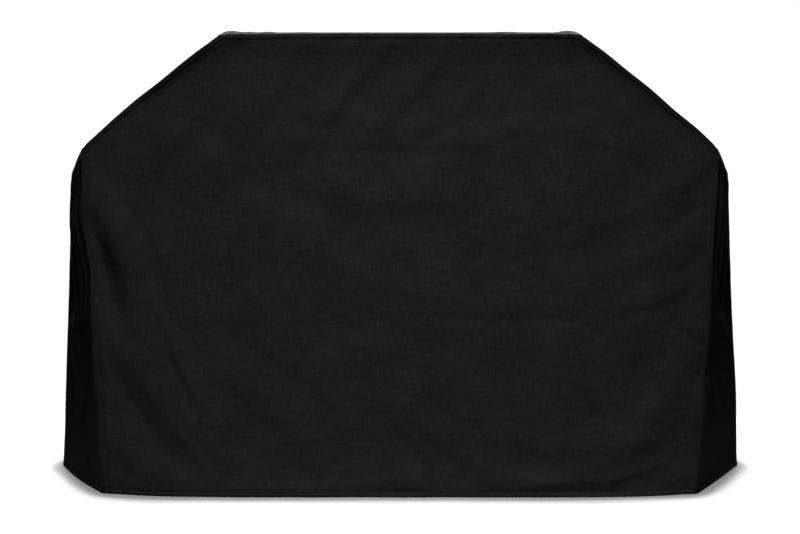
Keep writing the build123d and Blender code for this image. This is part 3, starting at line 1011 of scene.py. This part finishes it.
def make_tape(strap):
    """Hook tape on the inner side of a front strap, or loop tape on the outer side of a back one."""
    hooks = "front" in strap.body
    word, side, top = ("hook", 1, 140) if hooks else ("loop", -1, 190)
    look, slot = (HOOK_LOOK if hooks else LOOP_LOOK), f"{word}_tape"
    node = strap.body.replace("strap", slot)
    path = [(side, z) for z in np.linspace(TAPE_END, top, 60)]
    strap.band(f"{node}_base", path, web_profile(*HALF_TAPE), look, slot, node, body=strap.body)
    run = box(15.8, TAPE_END + 2, top - 2)
    strap.stitches(f"{node}_stitches", run, side * 1.24, side, strap.body)
    gap = (1.8, 1.9) if hooks else (1.5, 1.8)
    t, z = np.meshgrid(np.arange(-14, 14.1, gap[0]), np.arange(TAPE_END + 4, top - 3.9, gap[1]))
    t[::2] += gap[0] / 2
    roots = np.stack([t.ravel(), np.full(t.size, side * 1.2), z.ravel()], axis=1)
    if hooks:  # they bend up in one row and down in the next
        facing = np.repeat(np.where(np.arange(len(z)) % 2, 1, -1), z.shape[1])
        turned = np.stack([0 * facing, 0 * facing + side, facing], axis=1)
        paths = HOOK * turned[:, None]
        sides = np.tile([1.0, 0.0, 0.0], (len(roots), 1))
    else:
        angle = np.random.default_rng(93).uniform(0, np.pi, len(roots))[:, None]
        out = side * LOOP_HEIGHT + 0 * angle
        paths = np.stack([LOOP_REACH * np.cos(angle), out, LOOP_REACH * np.sin(angle)], axis=-1)
        sides = np.concatenate([-np.sin(angle), 0 * angle, np.cos(angle)], axis=1)
    strap.bristles(f"{node}_{word}s", roots, paths, sides, look, slot)


for joint in frame["joints"]:
    strap = Strap(joint)
    make_patch(strap)
    make_anchor(strap)
    make_free_end(strap)
    make_tape(strap)


# ---- Stage: floor, light, camera ----
def floor_look():
    """A white studio floor lit from within, with a painted contact shadow: its glow is dimmed by
    ambient occlusion close to the cover. It lights the cover with a quarter of what the camera sees."""
    g = Graph("floor_white")
    # Painted contact shadow: the floor's glow is darkened where the cover is near.
    shadows = []
    for distance, power in ((0.09, 3.0), (0.04, 5.0)):
        near = g.node("ShaderNodeAmbientOcclusion", {"samples": 12}, (), Distance=distance)
        shadows.append(g.math("POWER", near.outputs["AO"], power))
    seen = g.node("ShaderNodeLightPath").outputs["Is Camera Ray"]
    lit = g.math("MULTIPLY_ADD", seen, 0.75, 0.25)
    g.put(g.shader.inputs["Emission Strength"], g.math("MULTIPLY", g.math("MULTIPLY", *shadows), lit))
    g.shader.inputs["Emission Color"].default_value = (1, 1, 1, 1)
    g.shader.inputs["Base Color"].default_value = (0.12, 0.12, 0.12, 1)
    g.shader.inputs["Roughness"].default_value = 0.9
    g.shader.inputs["Specular IOR Level"].default_value = 0.0
    return g.material


def stage_floor():
    x, y = 1.2, 0.56
    corners = [(-x, -y, 0), (x, -y, 0), (x, y, 0), (-x, y, 0)]
    mesh_piece("floor", corners, [(0, 1, 2, 3)], floor_look())


def softbox(name, place, target, size, power, spread=180):
    """A rectangular light that faces a target, unseen by the camera. power is in watts."""
    data = bpy.data.lights.new(name, "AREA")
    data.shape = "RECTANGLE"
    data.size, data.size_y = size
    data.energy = power
    data.spread = math.radians(spread)
    light = add_object(name, data)
    light.location = place
    aim = np.array(target, float) - place
    light.rotation_euler = (
        math.atan2(math.hypot(aim[0], aim[1]), -aim[2]),
        0,
        math.atan2(aim[1], aim[0]) - math.pi / 2,
    )
    light.visible_camera = False


def studio_sky():
    """White behind everything that the camera sees, and only a little light from all round."""
    world = bpy.data.worlds.new("studio")
    bpy.context.scene.world = world
    world.use_nodes = True
    tree = world.node_tree
    background = tree.nodes["Background"]
    background.inputs["Color"].default_value = (1, 1, 1, 1)
    path = tree.nodes.new("ShaderNodeLightPath")
    mix = tree.nodes.new("ShaderNodeMix")
    mix.inputs[2].default_value = 0.06  # for other rays
    mix.inputs[3].default_value = 1.05  # for the camera's
    tree.links.new(path.outputs["Is Camera Ray"], mix.inputs[0])
    tree.links.new(mix.outputs[0], background.inputs["Strength"])


def studio_camera():
    data = bpy.data.cameras.new("camera")
    data.lens = 69.8
    data.sensor_width = 36
    camera = add_object("camera", data)
    camera.location = (0, -4.209, 1.230)
    camera.rotation_euler = (math.radians(90 - 9.01), 0, 0)
    bpy.context.scene.camera = camera


stage_floor()
studio_sky()
studio_camera()
softbox("key", (0, -2.9, 3.3), (0, -0.8, -0.2), (0.9, 1.8), 114, 80)
softbox("fill", (0, -2.6, 0.6), (0, 0, 0.3), (1.0, 0.8), 33)
softbox("top", (0, 0.6, 3.6), (0, 0, 1.2), (3.0, 1.6), 20)
for name, x in (("rear_left", -2.0), ("rear_right", 2.0)):
    softbox(name, (x, 3.8, 2.4), (0, 0.3, 0.6), (1.4, 1.6), 620)
bpy.context.scene.view_settings.view_transform = "Standard"
